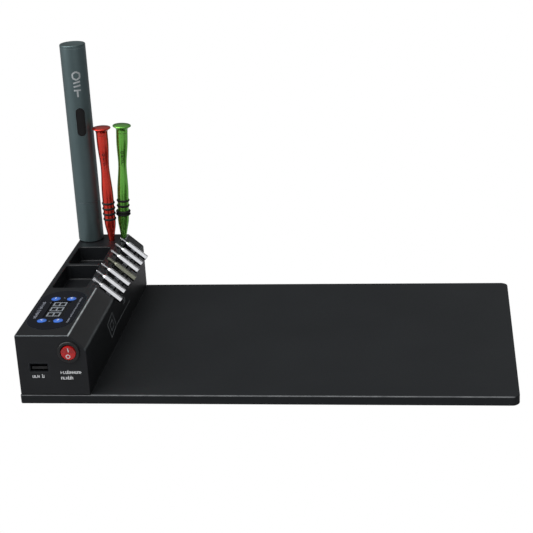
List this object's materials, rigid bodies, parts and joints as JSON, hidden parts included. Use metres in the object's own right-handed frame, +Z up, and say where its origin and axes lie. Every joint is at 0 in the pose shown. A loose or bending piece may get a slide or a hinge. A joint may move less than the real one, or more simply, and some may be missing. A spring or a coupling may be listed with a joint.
{
  "type": "repair station with hot plate",
  "caption": "Flat hot plate with a side control box: panel keys, display, USB outlet, switch, parts trays, bit rack and standing screwdrivers.",
  "frame": {"origin": "on the table, under the middle of the plate", "axes": "+X along the plate away from the control box, +Y from the front edge to the back, +Z up"},
  "size_m": [0.35, 0.2137, 0.2168],
  "materials": {
    "plate_coating": "charcoal baked coating, low sheen",
    "cover_steel": "black painted sheet, satin",
    "box_plastic": "black, fine texture, semi-gloss",
    "black_rubber": "matt",
    "screw_steel": "zinc plated",
    "heater_silicone": "red-brown silicone",
    "insulation_felt": "white ceramic felt",
    "sensor_glass": "glazed",
    "lead_silicone": "red sleeve",
    "magnet_nickel": "nickel plated, satin",
    "panel_film": "printed film, glossy",
    "display_body": "dark grey face",
    "segment_white": "milky diffuser",
    "board_green": "solder mask",
    "part_black": "moulded",
    "transformer_yellow": "tape wound",
    "capacitor_sleeve": "shrink sleeve",
    "terminal_green": "moulded",
    "socket_steel": "stamped tin plate",
    "pin_brass": "nickel plated brass",
    "rocker_red": "glossy",
    "key_blue": "translucent silicone, glossy",
    "barrel_anodised": "blue-grey anodised, satin",
    "button_black": "satin",
    "inner_steel": "machined",
    "battery_wrap": "shrink wrap",
    "handle_red": "red anodised, glossy",
    "handle_green": "green anodised, glossy",
    "blade_steel": "hardened",
    "bit_steel": "satin nickel",
    "bit_steel_dull": "dull grey"
  },
  "bodies": {
    "station": {"work_plate": "plate_coating", "base_cover": "cover_steel", "cover_screws": "screw_steel", "rubber_feet": "black_rubber", "heater_mat": "heater_silicone", "insulation_sheet": "insulation_felt", "thermistor": "sensor_glass", "thermal_cutout": "sensor_glass", "plate_leads": "lead_silicone", "control_box_shell": "box_plastic", "box_gasket": "black_rubber", "box_screws": "screw_steel", "board_screws": "screw_steel", "bit_rack": "box_plastic", "rack_magnet": "magnet_nickel", "panel_overlay": "panel_film", "display_module": "display_body", "display_segments": "segment_white", "control_board": "board_green", "tact_switches": "part_black", "control_chip": "part_black", "power_board": "board_green", "relay": "part_black", "transformer": "transformer_yellow", "capacitors": "capacitor_sleeve", "terminal_block": "terminal_green", "usb_socket_shell": "socket_steel", "usb_socket_tongue": "part_black", "rocker_switch_body": "part_black", "rocker_terminals": "pin_brass", "power_inlet": "part_black", "inlet_pins": "pin_brass"},
    "switch_rocker": {"rocker": "rocker_red"},
    "electric_driver": {"driver_front_sleeve": "barrel_anodised", "driver_barrel": "barrel_anodised", "driver_end_cap": "barrel_anodised", "driver_gearbox": "inner_steel", "driver_motor": "inner_steel", "driver_battery": "battery_wrap"},
    "driver_button": {"driver_button": "button_black"},
    "driver_chuck": {"driver_chuck": "inner_steel"},
    "red_driver": {"red_driver_handle": "handle_red", "red_driver_blade": "blade_steel", "red_driver_grip_rings": "black_rubber"},
    "red_cap": {"red_driver_cap": "handle_red"},
    "green_driver": {"green_driver_handle": "handle_green", "green_driver_blade": "blade_steel", "green_driver_grip_rings": "black_rubber"},
    "green_cap": {"green_driver_cap": "handle_green"},
    "panel_key_front_left": {"panel_key_front_left": "key_blue"},
    "panel_key_front_right": {"panel_key_front_right": "key_blue"},
    "panel_key_back_left": {"panel_key_back_left": "key_blue"},
    "panel_key_back_right": {"panel_key_back_right": "key_blue"},
    "bit_1_large_cross": {"bit_1_large_cross": "bit_steel"},
    "bit_2_fine_star": {"bit_2_fine_star": "bit_steel"},
    "bit_3_fine_cross": {"bit_3_fine_cross": "bit_steel"},
    "bit_4_flat": {"bit_4_flat": "bit_steel_dull"},
    "bit_5_cross": {"bit_5_cross": "bit_steel"},
    "bit_6_triangle": {"bit_6_triangle": "bit_steel"},
    "bit_7_pentagon": {"bit_7_pentagon": "bit_steel"}
  },
  "joints": [
    {"name": "rocker_tilt", "type": "hinge", "parent": "station", "child": "switch_rocker", "pos_m": [-0.1365, -0.1036, 0.0414], "axis": [-1, 0, 0], "range_deg": [0, 20]},
    {"name": "electric_driver_lift", "type": "slide", "parent": "station", "child": "electric_driver", "axis": [0, 0, 1], "range_m": [0, 0.03]},
    {"name": "driver_button_rock", "type": "hinge", "parent": "electric_driver", "child": "driver_button", "pos_m": [-0.1616, 0.08515, 0.1554], "axis": [0.9426, 0.3338, 0], "range_deg": [-2.5, 2.5], "stiffness_Nm_per_rad": 0.05},
    {"name": "chuck_spin", "type": "hinge", "parent": "electric_driver", "child": "driver_chuck", "pos_m": [-0.1648, 0.0942, 0.04], "axis": [0, 0, 1], "continuous": true},
    {"name": "red_driver_lift", "type": "slide", "parent": "station", "child": "red_driver", "axis": [0, 0, 1], "range_m": [0, 0.03]},
    {"name": "red_cap_spin", "type": "hinge", "parent": "red_driver", "child": "red_cap", "pos_m": [-0.1467, 0.0895, 0.15], "axis": [0, 0, 1], "continuous": true},
    {"name": "green_driver_lift", "type": "slide", "parent": "station", "child": "green_driver", "axis": [0.0698, 0, 0.9976], "range_m": [0, 0.03]},
    {"name": "green_cap_spin", "type": "hinge", "parent": "green_driver", "child": "green_cap", "pos_m": [-0.1382, 0.0965, 0.0538], "axis": [0.0698, 0, 0.9976], "continuous": true},
    {"name": "panel_key_front_left_press", "type": "slide", "parent": "station", "child": "panel_key_front_left", "axis": [0, 0, -1], "range_m": [0, 0.0008], "stiffness_N_per_m": 300, "springref_m": -0.001},
    {"name": "panel_key_front_right_press", "type": "slide", "parent": "station", "child": "panel_key_front_right", "axis": [0, 0, -1], "range_m": [0, 0.0008], "stiffness_N_per_m": 300, "springref_m": -0.001},
    {"name": "panel_key_back_left_press", "type": "slide", "parent": "station", "child": "panel_key_back_left", "axis": [0, 0, -1], "range_m": [0, 0.0008], "stiffness_N_per_m": 300, "springref_m": -0.001},
    {"name": "panel_key_back_right_press", "type": "slide", "parent": "station", "child": "panel_key_back_right", "axis": [0, 0, -1], "range_m": [0, 0.0008], "stiffness_N_per_m": 300, "springref_m": -0.001},
    {"name": "bit_1_large_cross_lift", "type": "slide", "parent": "station", "child": "bit_1_large_cross", "axis": [0.6635, 0, 0.7481], "range_m": [0, 0.03]},
    {"name": "bit_2_fine_star_lift", "type": "slide", "parent": "station", "child": "bit_2_fine_star", "axis": [0.6635, 0, 0.7481], "range_m": [0, 0.03]},
    {"name": "bit_3_fine_cross_lift", "type": "slide", "parent": "station", "child": "bit_3_fine_cross", "axis": [0.6635, 0, 0.7481], "range_m": [0, 0.03]},
    {"name": "bit_4_flat_lift", "type": "slide", "parent": "station", "child": "bit_4_flat", "axis": [0.6635, 0, 0.7481], "range_m": [0, 0.03]},
    {"name": "bit_5_cross_lift", "type": "slide", "parent": "station", "child": "bit_5_cross", "axis": [0.6635, 0, 0.7481], "range_m": [0, 0.03]},
    {"name": "bit_6_triangle_lift", "type": "slide", "parent": "station", "child": "bit_6_triangle", "axis": [0.6635, 0, 0.7481], "range_m": [0, 0.03]},
    {"name": "bit_7_pentagon_lift", "type": "slide", "parent": "station", "child": "bit_7_pentagon", "axis": [0.6635, 0, 0.7481], "range_m": [0, 0.03]}
  ]
}
